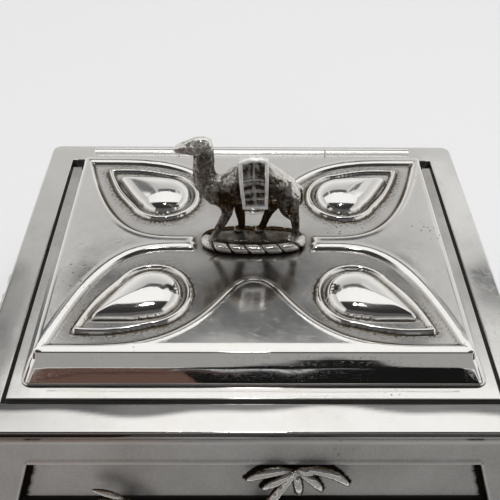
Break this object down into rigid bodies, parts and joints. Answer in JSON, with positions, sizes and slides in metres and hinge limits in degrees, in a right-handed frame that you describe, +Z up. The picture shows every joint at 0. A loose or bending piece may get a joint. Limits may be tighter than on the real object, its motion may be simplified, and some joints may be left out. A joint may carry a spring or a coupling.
{
  "type": "trinket box",
  "caption": "Low flared trinket box in silver sheet over a wooden carcass, with a hinged lid in relief, drop-shaped bosses and a camel finial.",
  "frame": {"origin": "middle of the underside of the base plate", "axes": "+X to the right along the hinge, +Y to the back where the hinge is, +Z up"},
  "size_m": [0.1248, 0.1062, 0.07],
  "materials": {
    "polished_silver": "polished",
    "wall_silver": "satin",
    "aged_silver": "satin",
    "carcass_wood": "matte",
    "fitting_brass": "satin"
  },
  "bodies": {
    "case": {"base_plate": "wall_silver", "top_rim": "polished_silver", "front_wall": "wall_silver", "right_wall": "wall_silver", "back_wall": "wall_silver", "left_wall": "wall_silver", "front_board": "carcass_wood", "right_board": "carcass_wood", "back_board": "carcass_wood", "left_board": "carcass_wood", "floor_board": "carcass_wood", "front_palm": "polished_silver", "front_small_palm": "polished_silver", "right_palm": "polished_silver", "back_palm": "polished_silver", "left_palm": "polished_silver", "left_knuckle": "polished_silver", "right_knuckle": "polished_silver", "hinge_pin": "fitting_brass"},
    "lid": {"lid_flange": "polished_silver", "lid_band": "polished_silver", "lid_top": "polished_silver", "plinth": "aged_silver", "rope_border": "polished_silver", "camel": "aged_silver", "finial_stud": "fitting_brass", "finial_washer": "fitting_brass", "finial_nut": "fitting_brass", "lid_knuckle": "polished_silver"}
  },
  "joints": [
    {"name": "lid_hinge", "type": "hinge", "parent": "case", "child": "lid", "pos_m": [0, 0.0346, 0.03985], "axis": [-1, 0, 0], "range_deg": [0, 105]}
  ]
}
